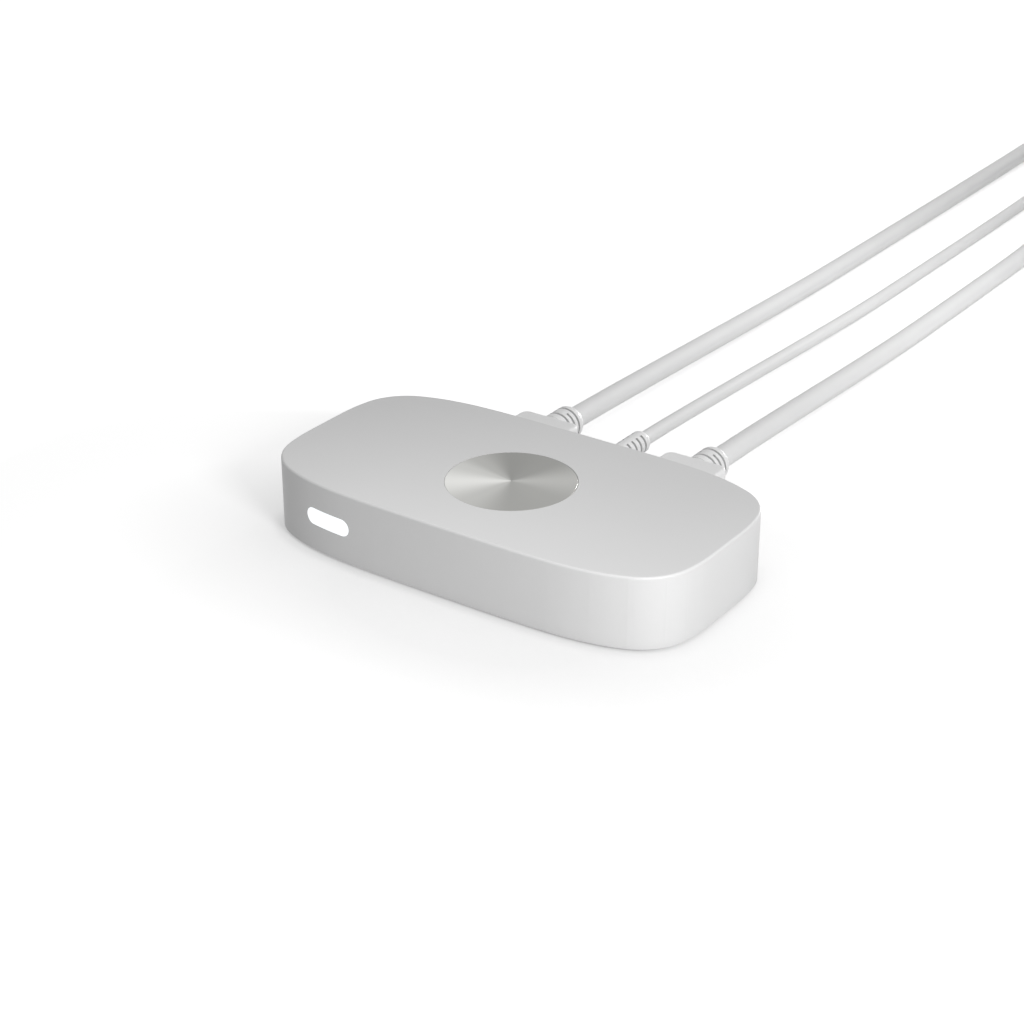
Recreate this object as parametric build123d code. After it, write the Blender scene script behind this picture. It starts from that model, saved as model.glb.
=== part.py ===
from build123d import *
import math
import os

os.makedirs("parts", exist_ok=True)

# All sizes are in millimetres. The origin is under the middle of the housing, on the table.
# +X runs along the long side, +Y points out of the rear wall with the ports, +Z is up.

# Housing
body_length = 112.6
body_width = 59.0
body_height = 17.5
outline_power = 4.13
outline_points = 20
wall = 1.8
roof = 2.0
top_edge_round = 0.55
foot_height = 0.7
base_thickness = 1.6
base_gap = 0.15
lip_gap = 0.22
lip_thickness = 1.2
roof_rib_depth = 1.5
roof_rib_thickness = 1.1
roof_rib_spacing = 15.0
gusset_thickness = 1.0
gusset_reach = 3.0

# Round metal inlay in the roof
badge_diameter = 30.8
badge_thickness = 0.6
badge_gap = 0.05
badge_chamfer = 0.12
badge_y = -1.5

# Status light in the front wall
light_length = 13.3
light_height = 4.1
light_inset = 23.6
light_z = 9.4
light_gap = 0.06
light_flange = 0.7
light_flange_thickness = 0.8
guide_depth = 4.0
guide_gap = 0.15
led_length = 2.0
led_width = 1.6
led_height = 0.8
led_count = 3
led_spacing = 4.0

# Feet and screws
foot_diameter = 10.0
foot_recess = 0.5
foot_round = 0.25
foot_gap = 0.05
corner_inset_x = 16.3
corner_inset_y = 12.5
case_screw_radius = 1.0
case_screw_length = 8.0
screw_end_gap = 0.2
case_head_radius = 1.9
case_head_height = 1.3
screw_gap = 0.02
hole_gap = 0.25
post_radius = 4.0
post_seat = 1.2
boss_radius = 3.2
board_screw_radius = 0.8
board_screw_length = 3.0
board_head_radius = 1.5
board_head_height = 0.9
standoff_radius = 2.4
end_screw_inset = 10.3
port_screw_inset = 13.0
driver_recess_radius = 0.75
driver_recess_depth = 0.6

# Ports: two 19-pin digital video ports and a small reversible data port between them
port_height = 6.6
port_spacing = 21.4
hood_gap = 0.5
video_shell_width = 13.9
video_shell_height = 4.45
video_shell_corner = 1.35
video_shell_reach = 11.6
video_shell_thickness = 0.35
video_slot_height = 1.75
video_tongue_width = 11.3
video_tongue_height = 1.1
data_shell_width = 8.34
data_shell_height = 2.56
data_shell_reach = 6.65
data_shell_thickness = 0.25
data_slot_height = 1.05
data_tongue_width = 6.7
data_tongue_height = 0.7
port_gap = 0.15
socket_thickness = 0.35
socket_floor_gap = 0.4
socket_block_depth = 1.6
socket_face_gap = 0.1
window_gap = 0.2
tongue_setback = 1.6
tongue_side_gap = 0.4
insert_gap = 0.03
contact_width = 0.35
contact_height = 0.08
video_contact_count = 10
data_contact_count = 12
ear_length = 1.6
ear_width = 3.0
ear_thickness = 0.35

# Circuit board and what is on it
board_thickness = 1.2
board_gap = 1.0
notch_gap = 0.3
processor_size = 15.0
processor_height = 1.3
pad_thickness = 1.0
pad_inset = 0.5
parts_gap = 1.0
sink_length = 36.0
sink_width = 27.0
sink_base = 2.0
fin_roof_gap = 1.0
fin_thickness = 0.9
fin_count = 11
sink_leg_radius = 1.2
sink_leg_inset = 2.4
memory_length = 10.0
memory_width = 7.5
memory_height = 1.0
memory_gap = 2.35
retimer_size = 5.0
retimer_height = 0.85
inductor_size = 5.0
inductor_height = 3.0
inductor_gap = 2.0
inductor_spacing = 7.0
electrolytic_radius = 2.5
electrolytic_height = 5.4
electrolytic_gap = 4.5
crystal_length = 3.2
crystal_width = 2.5
crystal_height = 0.8
capacitor_length = 1.6
capacitor_width = 0.8
capacitor_height = 0.8
capacitor_spacing = 3.2
capacitor_count = 6
capacitor_edge_gap = 5.2

# Cables: moulded hoods, ribbed strain reliefs and cords
video_hood_width = 17.0
video_hood_height = 8.6
video_hood_length = 17.3
video_hood_corner = 2.2
video_relief_radius = 4.3
video_relief_length = 8.6
video_relief_pitch = 1.85
video_groove_count = 3
video_cord_diameter = 5.7
data_hood_width = 11.6
data_hood_height = 6.2
data_hood_length = 13.3
data_hood_corner = 1.8
data_relief_radius = 2.85
data_relief_length = 12.6
data_relief_pitch = 2.1
data_groove_count = 5
data_cord_diameter = 3.85
hood_edge_round = 0.9
groove_width = 0.75
groove_depth = 0.6
groove_bridge_angle = 44.0
collar_round = 1.1
collar_land = 0.1
shell_seat = 3.0
stub_step = 0.05
far_data_shell_width = 12.0
far_data_shell_height = 4.5
far_data_shell_reach = 12.0
far_data_slot_height = 2.0
far_data_hood_width = 15.6
far_data_hood_height = 7.6
far_data_hood_length = 19.0

# Coils of the spare cord, tied and lying on the table out of the way
coil_side_gap = 1.8
coil_layer_gap = 0.5
coil_section_sides = 6
cord_section_sides = 12
plug_rest_gap = 0.3
tie_thickness = 0.7
tie_width = 8.0
tie_gap = 0.45
tie_round = 1.6

# Worked-out places
half_length = body_length / 2
half_width = body_width / 2
bottom_z = foot_height
top_z = bottom_z + body_height
roof_z = top_z - roof
base_top_z = bottom_z + base_thickness
video_socket_half = video_shell_width / 2 + port_gap + socket_thickness
data_socket_half = data_shell_width / 2 + port_gap + socket_thickness
data_socket_height = data_shell_height + 2 * (port_gap + socket_thickness)
board_top_z = port_height - data_socket_height / 2
board_bottom_z = board_top_z - board_thickness
lip_top_z = board_bottom_z - lip_gap
head_seat_z = bottom_z + foot_recess + case_head_height + 2 * foot_gap
post_top_z = head_seat_z + post_seat
hood_front_y = half_width + hood_gap
video_floor_y = hood_front_y - video_shell_reach - socket_floor_gap
video_back_y = video_floor_y - socket_block_depth
data_floor_y = hood_front_y - data_shell_reach - socket_floor_gap
data_back_y = data_floor_y - socket_block_depth
light_x = light_inset - half_length
corner_x = half_length - corner_inset_x
corner_y = half_width - corner_inset_y
case_screw_places = [(sx * corner_x, sy * corner_y) for sx in (-1, 1) for sy in (-1, 1)]
end_screw_x = half_length - end_screw_inset
port_screw_x = (data_socket_half + port_spacing - video_socket_half - notch_gap - ear_length) / 2
port_screw_y = half_width - port_screw_inset
board_screw_places = [(side * end_screw_x, 0) for side in (-1, 1)]
board_screw_places += [(side * port_screw_x, port_screw_y) for side in (-1, 1)]
retimer_y = video_back_y - parts_gap - retimer_size / 2
processor_y = retimer_y - retimer_size / 2 - parts_gap - sink_width / 2
memory_x = processor_size / 2 + memory_gap + memory_width / 2
electrolytic_x = end_screw_x - board_head_radius - electrolytic_gap - electrolytic_radius
inductor_x = electrolytic_x - electrolytic_radius - inductor_gap - inductor_size / 2


def outline_point(turn, inset):
    """Point of the superellipse, moved inwards along its own normal, and the way the edge runs there."""
    c = math.cos(turn)
    s = math.sin(turn)
    reach = (abs(c) ** outline_power + abs(s) ** outline_power) ** (-1 / outline_power)
    x = half_length * c * reach
    y = half_width * s * reach
    nx = math.copysign(abs(x / half_length) ** (outline_power - 1) / half_length, x)
    ny = math.copysign(abs(y / half_width) ** (outline_power - 1) / half_width, y)
    normal = Vector(nx, ny).normalized()
    return Vector(x, y) - normal * inset, Vector(-normal.Y, normal.X)


def two_arcs(start, along, end, onward):
    """Two arcs from start to end that leave along one direction and arrive along the other."""
    across = end - start
    both = along + onward
    turn = 2 * (1 - along.dot(onward))
    lean = across.dot(both)
    reach = (math.sqrt(lean ** 2 + turn * across.dot(across)) - lean) / turn
    first = start + along * reach
    second = end - onward * reach
    joint = (first + second) * 0.5
    heading = (second - first).normalized()
    return [TangentArc(start, joint, tangent=along), TangentArc(joint, end, tangent=heading)]


def outline(inset=0.0):
    """Face of the housing's footprint, drawn in by an inset, as smoothly joined arcs."""
    stations = [outline_point(2 * math.pi * k / outline_points, inset) for k in range(outline_points)]
    edges = []
    for (start, along), (end, onward) in zip(stations, stations[1:] + stations[:1]):
        edges += two_arcs(start, along, end, onward)
    return make_face(Wire(edges))


def rear_wall_y(x):
    """Where the outside of the rear wall is at a distance x from the middle."""
    return half_width * (1 - (abs(x) / half_length) ** outline_power) ** (1 / outline_power)


def slab(face, z_low, z_high):
    """Solid of a plan face between two heights."""
    return extrude(Pos(0, 0, z_low) * face, amount=z_high - z_low)


def block(x, y, z_low, length, width, height):
    """Upright block standing on z_low with its plan centre at x, y."""
    return Pos(x, y, z_low + height / 2) * Box(length, width, height)


def post(x, y, z_low, radius, height):
    """Upright cylinder standing on z_low."""
    return Pos(x, y, z_low + height / 2) * Cylinder(radius, height)


def along_y(face, y_start, length):
    """Solid of an upright face, x to the right and z up, from y_start towards +Y."""
    upright = Plane(origin=(0, y_start + length, 0), x_dir=(1, 0, 0), z_dir=(0, -1, 0))
    return extrude(upright * face, amount=length)


def pill(length, height):
    """Face with fully round ends."""
    return SlotOverall(length, height)


def video_profile(grow=0.0):
    """Outline of the video plug's metal shell: flat top, both lower corners cut off."""
    w = video_shell_width / 2
    h = video_shell_height / 2
    cut = video_shell_corner
    lower = -h + cut * 1.1
    points = [(-w, h), (w, h), (w, lower), (w - cut, -h), (cut - w, -h), (-w, lower)]
    face = make_face(Polyline(*points, close=True))
    return offset(face, amount=grow, kind=Kind.INTERSECTION) if grow else face


def data_profile(grow=0.0):
    """Outline of the small data plug's metal shell: flat with fully round ends."""
    return pill(data_shell_width + 2 * grow, data_shell_height + 2 * grow)


def upper_shell():
    """Roof and walls in one moulding, open underneath, with bosses and ribs inside."""
    outer = slab(outline(), bottom_z, top_z)
    outer = fillet(outer.edges().group_by(Axis.Z)[-1], top_edge_round)
    hollow = slab(outline(wall), bottom_z, roof_z)
    shell = outer - hollow
    inner = slab(outline(wall), post_top_z, roof_z)
    shell += roof_ribs() & inner
    for x, y in case_screw_places:
        shell += post(x, y, post_top_z, boss_radius, roof_z - post_top_z)
        shell += gussets(x, y)
    for x, y in case_screw_places:
        shell -= post(x, y, post_top_z, case_screw_radius + screw_gap, case_screw_length)
    shell -= port_windows()
    shell -= light_opening(light_gap)
    recess = badge_thickness
    shell -= post(0, badge_y, top_z - recess, badge_diameter / 2 + badge_gap, recess)
    return shell


def roof_ribs():
    """Grid of low ribs under the roof."""
    ribs = []
    rib_z = roof_z - roof_rib_depth
    steps = int(half_length // roof_rib_spacing)
    for k in range(-steps, steps + 1):
        x = k * roof_rib_spacing
        ribs.append(block(x, 0, rib_z, roof_rib_thickness, body_width, roof_rib_depth))
    for side in (-1, 1):
        y = side * roof_rib_spacing
        ribs.append(block(0, y, rib_z, body_length, roof_rib_thickness, roof_rib_depth))
    return Part() + ribs


def gussets(x, y):
    """Four small webs that stiffen a screw boss where it meets the roof."""
    reach = boss_radius + gusset_reach
    web = make_face(Polyline((-reach, roof_z), (reach, roof_z), (0, roof_z - reach), close=True))
    cut = slab(outline(wall), roof_z - reach, roof_z)
    webs = Part()
    for turn in (0, 90):
        plate = extrude(Plane.XZ * web, amount=gusset_thickness / 2, both=True)
        webs += Pos(x, y, 0) * Rot(0, 0, turn) * plate
    return webs & cut


def port_windows():
    """Windows of the three ports in the rear wall, around the sockets."""
    start = half_width - 3 * wall
    grow = port_gap + socket_thickness + window_gap
    tool = Part()
    for side in (-1, 1):
        face = Pos(side * port_spacing, port_height) * video_profile(grow)
        tool += along_y(face, start, 4 * wall)
    tool += along_y(Pos(0, port_height) * data_profile(grow), start, 4 * wall)
    return tool


def light_opening(grow):
    """Pill-shaped prism through the front wall, and its wider seat behind the wall."""
    depth = 4 * wall
    face = Pos(light_x, light_z) * pill(light_length + 2 * grow, light_height + 2 * grow)
    return along_y(face, -half_width - wall, depth)


def status_lens():
    """Lens that follows the curve of the front wall, with a flange behind the wall."""
    front = light_opening(0) & slab(outline(), bottom_z, roof_z)
    front -= slab(outline(wall + light_gap), bottom_z, roof_z)
    wide = pill(light_length + 2 * light_flange, light_height + 2 * light_flange)
    flange = along_y(Pos(light_x, light_z) * wide, -half_width, 4 * wall)
    flange &= slab(outline(wall + light_gap), bottom_z, roof_z)
    flange -= slab(outline(wall + light_gap + light_flange_thickness), bottom_z, roof_z)
    return front + flange


def guide_front_y():
    """Just behind the lens flange at the end of the light nearest the middle."""
    inner_end = light_x + light_length / 2 + light_flange
    return wall + light_gap + light_flange_thickness + guide_gap - rear_wall_y(inner_end)


def led_y():
    return guide_front_y() + guide_depth


def light_guide():
    """Clear bar that turns the light of the diodes on the board towards the lens."""
    front = guide_front_y()
    back = led_y() + led_width / 2
    low = board_top_z + led_height + guide_gap
    high = light_z + light_height / 2
    foot = light_z - light_height / 2
    slope = min(high - foot, back - front) * 0.6
    points = [
        (front, foot),
        (back - led_width, foot),
        (back - led_width, low),
        (back, low),
        (back, high - slope),
        (back - slope, high),
        (front, high),
    ]
    side = make_face(Plane.YZ * Polyline(*points, close=True))
    bar = extrude(Pos(light_x, 0, 0) * side, amount=light_length / 2, both=True)
    return bar & slab(outline(wall + light_gap + light_flange_thickness + guide_gap), low, roof_z)


def status_leds():
    return [
        block(light_x + (k - (led_count - 1) / 2) * led_spacing, led_y(), board_top_z,
              led_length, led_width, led_height)
        for k in range(led_count)
    ]


def badge_disc():
    """Plain round metal inlay, level with the roof."""
    disc = post(0, badge_y, top_z - badge_thickness, badge_diameter / 2, badge_thickness)
    return chamfer(disc.edges().group_by(Axis.Z)[-1], badge_chamfer)


def base_cover():
    """Bottom plate with a lip, screw posts, board standoffs and foot recesses."""
    edge = wall + base_gap
    plate = slab(outline(edge), bottom_z, base_top_z)
    lip = slab(outline(edge), base_top_z, lip_top_z)
    lip -= slab(outline(edge + lip_thickness), base_top_z, lip_top_z)
    lip -= port_windows()
    cover = plate + lip
    for x, y in case_screw_places:
        cover += post(x, y, base_top_z, post_radius, post_top_z - base_top_z)
    for x, y in board_screw_places:
        cover += post(x, y, base_top_z, standoff_radius, board_bottom_z - base_top_z)
    for x, y in case_screw_places:
        cover -= post(x, y, bottom_z, foot_diameter / 2 + foot_gap, foot_recess)
        cover -= post(x, y, bottom_z, case_head_radius + hole_gap, head_seat_z - bottom_z)
        cover -= post(x, y, bottom_z, case_screw_radius + hole_gap, post_top_z - bottom_z)
    for x, y in board_screw_places:
        depth = board_screw_length - board_thickness
        cover -= post(x, y, board_bottom_z - depth, board_screw_radius + screw_gap, depth)
    return cover


def rubber_feet():
    """Four round pads in the base, which also cover the case screws."""
    feet = []
    for x, y in case_screw_places:
        foot = post(x, y, 0, foot_diameter / 2, foot_height + foot_recess)
        feet.append(chamfer(foot.edges().group_by(Axis.Z)[0], foot_round))
    return feet


def screw(x, y, seat_z, radius, length, head_radius, head_height, up):
    """Pan-head screw whose shank points up or down from its seat, with a driver recess."""
    sign = 1 if up else -1
    shank = Cylinder(radius, length, align=(Align.CENTER, Align.CENTER, Align.MIN))
    head = Cylinder(head_radius, head_height, align=(Align.CENTER, Align.CENTER, Align.MAX))
    head = chamfer(head.edges().group_by(Axis.Z)[0], head_height / 3)
    hexagon = RegularPolygon(driver_recess_radius, 6)
    head -= extrude(Pos(0, 0, -head_height) * hexagon, amount=driver_recess_depth)
    flip = Rot(0, 0, 0) if sign > 0 else Rot(180, 0, 0)
    return Pos(x, y, seat_z) * flip * (shank + head)


def case_screws():
    return [
        screw(x, y, head_seat_z, case_screw_radius, case_screw_length + post_seat - screw_end_gap,
              case_head_radius, case_head_height, True)
        for x, y in case_screw_places
    ]


def board_screws():
    return [
        screw(x, y, board_top_z, board_screw_radius, board_screw_length,
              board_head_radius, board_head_height, False)
        for x, y in board_screw_places
    ]


def main_board():
    """Circuit board with clearance round the posts and two notches for the video sockets."""
    board = slab(outline(wall + board_gap), board_bottom_z, board_top_z)
    for x, y in case_screw_places:
        board -= post(x, y, board_bottom_z, post_radius + hole_gap, board_thickness)
    for x, y in board_screw_places:
        board -= post(x, y, board_bottom_z, board_screw_radius + hole_gap, board_thickness)
    grow = port_gap + socket_thickness + notch_gap
    width = video_shell_width + 2 * grow
    start = video_back_y - notch_gap
    for side in (-1, 1):
        length = half_width - start
        board -= block(side * port_spacing, start + length / 2, board_bottom_z,
                       width, length, board_thickness)
    return board


def video_face_y():
    """Front of a video socket, just inside the curve of the rear wall."""
    return rear_wall_y(port_spacing + video_socket_half) - socket_face_gap


def data_face_y():
    return rear_wall_y(data_socket_half) - socket_face_gap


def video_socket_shell(side):
    """Metal shell of a video socket, sunk in the board, with ears soldered on both sides."""
    length = video_face_y() - video_back_y
    shell = Pos(0, 0, port_height) * along_y(video_profile(port_gap + socket_thickness), video_back_y, length)
    span = 2 * (video_socket_half + notch_gap + ear_length)
    for y in (video_back_y + ear_width, video_face_y() - 2 * ear_width):
        shell += block(0, y, board_top_z, span, ear_width, ear_thickness)
    shell -= Pos(0, 0, port_height) * along_y(video_profile(port_gap), video_back_y, length)
    return Pos(side * port_spacing, 0, 0) * shell


def data_socket_shell():
    """Metal shell of the small data socket, standing on the board."""
    length = data_face_y() - data_back_y
    outer = along_y(data_profile(port_gap + socket_thickness), data_back_y, length)
    outer -= along_y(data_profile(port_gap), data_back_y, length)
    return Pos(0, 0, port_height) * outer


def tongue(profile, floor_y, face_y, width, height):
    """Insulator of a socket: the block at its back and the blade that the plug goes round."""
    back = floor_y - socket_block_depth
    body = along_y(profile, back, socket_block_depth)
    blade_length = face_y - tongue_setback - floor_y
    body += along_y(Rectangle(width, height), floor_y, blade_length)
    return body


def video_socket_tongues():
    body = tongue(video_profile(port_gap - insert_gap), video_floor_y, video_face_y(),
                  video_tongue_width, video_tongue_height)
    return [Pos(side * port_spacing, 0, port_height) * body for side in (-1, 1)]


def data_socket_tongue():
    body = tongue(data_profile(port_gap - insert_gap), data_floor_y, data_face_y(),
                  data_tongue_width, data_tongue_height)
    return Pos(0, 0, port_height) * body


def contact_row(x, floor_y, face_y, width, height, count):
    """Flat spring contacts on both faces of a socket's blade."""
    length = face_y - tongue_setback - floor_y - 1.0
    pitch = width / (count + 0.5)
    strips = []
    for k in range(count):
        place = x + (k - (count - 1) / 2) * pitch
        for sign in (-1, 1):
            z = port_height + sign * (height + contact_height) / 2
            y = floor_y + length / 2
            strips.append(Pos(place, y, z) * Box(min(contact_width, pitch / 2), length, contact_height))
    return strips


def socket_contacts():
    strips = []
    for side in (-1, 1):
        strips += contact_row(side * port_spacing, video_floor_y, video_face_y(),
                              video_tongue_width, video_tongue_height, video_contact_count)
    strips += contact_row(0, data_floor_y, data_face_y(),
                          data_tongue_width, data_tongue_height, data_contact_count)
    return strips


def video_processor():
    chip = block(0, processor_y, board_top_z, processor_size, processor_size, processor_height)
    return chamfer(chip.edges().group_by(Axis.Z)[-1], processor_height / 5)


def thermal_pad():
    size = processor_size - 2 * pad_inset
    return block(0, processor_y, board_top_z + processor_height, size, size, pad_thickness)


def heat_sink():
    """Finned plate on the thermal pad, standing on the board with four legs."""
    low = board_top_z + processor_height + pad_thickness
    sink = block(0, processor_y, low, sink_length, sink_width, sink_base)
    fin_height = roof_z - roof_rib_depth - fin_roof_gap - low - sink_base
    step = (sink_length - fin_thickness) / (fin_count - 1)
    for k in range(fin_count):
        x = -sink_length / 2 + fin_thickness / 2 + k * step
        sink += block(x, processor_y, low + sink_base, fin_thickness, sink_width, fin_height)
    for sx in (-1, 1):
        for sy in (-1, 1):
            x = sx * (sink_length / 2 - sink_leg_inset)
            y = processor_y + sy * (sink_width / 2 - sink_leg_inset)
            sink += post(x, y, board_top_z, sink_leg_radius, low - board_top_z)
    return sink


def memory_chips():
    return [
        block(side * memory_x, processor_y, board_top_z, memory_width, memory_length, memory_height)
        for side in (-1, 1)
    ]


def signal_retimers():
    return [
        block(side * port_spacing, retimer_y, board_top_z, retimer_size, retimer_size, retimer_height)
        for side in (-1, 1)
    ]


def power_inductors():
    """Moulded power inductors beside the processor, with rounded upright corners."""
    pieces = []
    for k in range(3):
        y = (k - 1) * inductor_spacing
        brick = block(inductor_x, y, board_top_z, inductor_size, inductor_size, inductor_height)
        pieces.append(fillet(brick.edges().filter_by(Axis.Z), inductor_size / 6))
    return pieces


def power_capacitors():
    """Three can capacitors beside the inductors."""
    cans = []
    for k in range(3):
        y = (k - 1) * inductor_spacing
        can = post(electrolytic_x, y, board_top_z, electrolytic_radius, electrolytic_height)
        cans.append(chamfer(can.edges().group_by(Axis.Z)[-1], electrolytic_radius / 6))
    return cans


def clock_crystal():
    y = processor_y + sink_width / 2 + crystal_width
    can = block(0, y, board_top_z, crystal_length, crystal_width, crystal_height)
    return fillet(can.edges().filter_by(Axis.Z), crystal_width / 6)


def ceramic_capacitors():
    """Rows of small capacitors along the front edge of the board and across its left end."""
    rows = []
    front = wall + board_gap + capacitor_edge_gap + capacitor_length / 2 - half_width
    for k in range(capacitor_count):
        step = (k - (capacitor_count - 1) / 2) * capacitor_spacing
        rows.append(block(step, front, board_top_z, capacitor_width, capacitor_length, capacitor_height))
        rows.append(block(-electrolytic_x, step, board_top_z, capacitor_length, capacitor_width,
                          capacitor_height))
    return rows


def moulded_hood(width, height, length, corner, pocket, relief_radius):
    """Grip of a plug: rounded block with a pocket for the shell and a stub for the relief."""
    body = Pos(0, length / 2, 0) * Box(width, length, height)
    back = body.edges().filter_by(Axis.Z).group_by(Axis.Y)[-1]
    body = fillet(back, corner)
    flats = body.edges().group_by(Axis.Z)
    body = fillet(flats[0] + flats[-1], hood_edge_round)
    stub_radius = min(relief_radius, height / 2) - stub_step
    stub = Pos(0, length - 2 * corner, 0) * Rot(-90, 0, 0) * Cylinder(
        stub_radius, 2 * corner, align=(Align.CENTER, Align.CENTER, Align.MIN))
    body += stub
    return body - along_y(pocket, 0, shell_seat)


def ribbed_relief(radius, cord_diameter, length, pitch, grooves, all_bridged):
    """Strain relief: sleeve with grooves and a round collar at the cord end."""
    collar = min(collar_round, radius - cord_diameter / 2 - collar_land)
    shoulder = radius - collar
    bevel = collar * (1 - math.sqrt(0.5))
    profile = [
        (0, 0),
        (radius, 0),
        (radius, length - collar),
        (radius - bevel, length - bevel),
        (shoulder, length),
        (0, length),
    ]
    sleeve = revolve(make_face(Polyline(*profile, close=True)), axis=Axis.Y)
    first = length - 2 * collar_round - groove_width - (grooves - 1) * pitch
    for k in range(grooves):
        y = first + k * pitch
        ring = Cylinder(radius + 1, groove_width) - Cylinder(radius - groove_depth, groove_width)
        ring = Pos(0, y + groove_width / 2, 0) * Rot(-90, 0, 0) * ring
        if all_bridged or k % 2 == 1:
            half = (radius + 2) * math.tan(math.radians(groove_bridge_angle / 2))
            rise = radius + 2
            for sign in (-1, 1):
                wedge = make_face(Polyline((0, 0), (half, sign * rise), (-half, sign * rise), close=True))
                ring -= along_y(wedge, y, groove_width)
        sleeve -= ring
    return sleeve


def tube_shell(outer, inner, reach):
    """Bent metal tube of a plug, from inside the hood to its tip."""
    length = reach + shell_seat
    return along_y(outer, -reach, length) - along_y(inner, -reach, length)


def plug_insert(core, slot_width, slot_height, reach, slot_depth):
    """Insulator inside a plug's tube, with the slot that goes over the socket's blade."""
    body = along_y(core, -reach + 0.3, reach + shell_seat - 0.3)
    return body - along_y(Rectangle(slot_width, slot_height), -reach, slot_depth)


def video_plug():
    """Pieces of a video plug, hood front at y=0, tip towards -Y, cord towards +Y."""
    reach = video_shell_reach
    shell = tube_shell(video_profile(), video_profile(-video_shell_thickness), reach)
    core = video_profile(-video_shell_thickness - insert_gap)
    slot_width = video_tongue_width + 2 * tongue_side_gap
    insert = plug_insert(core, slot_width, video_slot_height, reach, reach - 0.6)
    hood = moulded_hood(video_hood_width, video_hood_height, video_hood_length,
                        video_hood_corner, video_profile(insert_gap), video_relief_radius)
    relief = Pos(0, video_hood_length, 0) * ribbed_relief(
        video_relief_radius, video_cord_diameter, video_relief_length, video_relief_pitch,
        video_groove_count, False)
    return shell, insert, hood, relief


def data_plug():
    """Pieces of the small reversible data plug, placed as video_plug places them."""
    reach = data_shell_reach
    shell = tube_shell(data_profile(), data_profile(-data_shell_thickness), reach)
    core = data_profile(-data_shell_thickness - insert_gap)
    slot_width = data_tongue_width + tongue_side_gap
    insert = plug_insert(core, slot_width, data_slot_height, reach, reach - 0.6)
    hood = moulded_hood(data_hood_width, data_hood_height, data_hood_length,
                        data_hood_corner, data_profile(insert_gap), data_relief_radius)
    relief = Pos(0, data_hood_length, 0) * ribbed_relief(
        data_relief_radius, data_cord_diameter, data_relief_length, data_relief_pitch,
        data_groove_count, True)
    return shell, insert, hood, relief


def far_data_plug():
    """Flat rectangular data plug at the far end of the data cable."""
    reach = far_data_shell_reach
    outer = Rectangle(far_data_shell_width, far_data_shell_height)
    t = video_shell_thickness
    inner = Rectangle(far_data_shell_width - 2 * t, far_data_shell_height - 2 * t)
    shell = tube_shell(outer, inner, reach)
    core_width = far_data_shell_width - 2 * (t + insert_gap)
    core_height = far_data_shell_height - 2 * (t + insert_gap) - far_data_slot_height
    low = -far_data_slot_height / 2
    insert = along_y(Pos(0, -low) * Rectangle(core_width, core_height), -reach + 0.5, reach)
    back = far_data_shell_height - 2 * (t + insert_gap)
    insert += along_y(Rectangle(core_width, back), 0.5, shell_seat - 0.5)
    pocket = Rectangle(far_data_shell_width + 2 * insert_gap, far_data_shell_height + 2 * insert_gap)
    hood = moulded_hood(far_data_hood_width, far_data_hood_height, far_data_hood_length,
                        data_hood_corner, pocket, data_relief_radius)
    relief = Pos(0, far_data_hood_length, 0) * ribbed_relief(
        data_relief_radius, data_cord_diameter, data_relief_length, data_relief_pitch,
        data_groove_count, True)
    return shell, insert, hood, relief


def write(name, shape):
    """One STEP file for each named piece."""
    if isinstance(shape, list):
        shape = Compound(children=shape)
    export_step(shape, f"parts/{name}.step")


def route_radii(points):
    """Largest arc at each corner: 0.45 of the shorter run over the tangent of half the turn."""
    radii = []
    for a, b, c in zip(points, points[1:], points[2:]):
        before = Vector(b) - Vector(a)
        after = Vector(c) - Vector(b)
        half_turn = math.radians(before.get_angle(after)) / 2
        radii.append(0.45 * min(before.length, after.length) / math.tan(half_turn))
    return radii


def cord_section(path, diameter, sides):
    """Flat-sided section of a cord, square to the start of its path, with a flat side down."""
    start = Plane(origin=path @ 0, x_dir=(1, 0, 0), z_dir=path % 0)
    return start * Rot(0, 0, 90 + 180 / sides) * RegularPolygon(diameter / 2, sides)


def cord_tube(name, points, diameter):
    """Tube of a cord's free stretch, along straight runs joined by tangent arcs."""
    radii = route_radii(points)
    path = FilletPolyline(*points, radius=radii)
    section = cord_section(path, diameter, cord_section_sides)
    tube = sweep(section, path=path)
    print(f"{name}: {path.length:.1f} long, radii {[round(r) for r in radii]},"
          f" volume {tube.volume:.0f} of {section.area * path.length:.0f}")
    return tube, path.length


def coil_path(centre, radius, half_turns, diameter, base_z, far_z, tight):
    """Path of a tied coil: in along the table, up a layer, out again, over the top and in to the plug.

    It starts at the left of the coil, heading +Y, and ends heading +X.
    """
    pitch = diameter + coil_side_gap
    rise = diameter + coil_layer_gap
    steps = [(-pitch / 2, 0)] * half_turns + [(0, rise)] + [(pitch / 2, 0)] * half_turns
    steps.append((0, far_z - base_z - rise))
    side = -1
    here = Vector(centre[0] + side * radius, centre[1], base_z)
    heading = Vector(0, 1, 0)
    edges = [Line(here - heading * diameter, here)]
    for change, climb in steps:
        radius += change
        side = -side
        there = Vector(centre[0] + side * radius, centre[1], here.Z + climb)
        edges += two_arcs(here, heading, there, heading * -1)
        here = there
        heading = heading * -1
    corner = here + Vector(tight, tight, 0)
    edges.append(TangentArc(here, corner, tangent=heading))
    edges.append(Line(corner, corner + Vector(diameter, 0, 0)))
    return Wire(edges)


def least_gap(path, diameter, samples=500):
    """Smallest clear distance between two turns, measured on points along the path."""
    points = [path @ (k / samples) for k in range(samples + 1)]
    apart = math.ceil(3 * diameter / path.length * samples)
    nearest = min(
        (points[i] - points[j]).length
        for i in range(samples + 1)
        for j in range(i + apart, samples + 1)
    )
    return nearest - diameter


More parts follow.
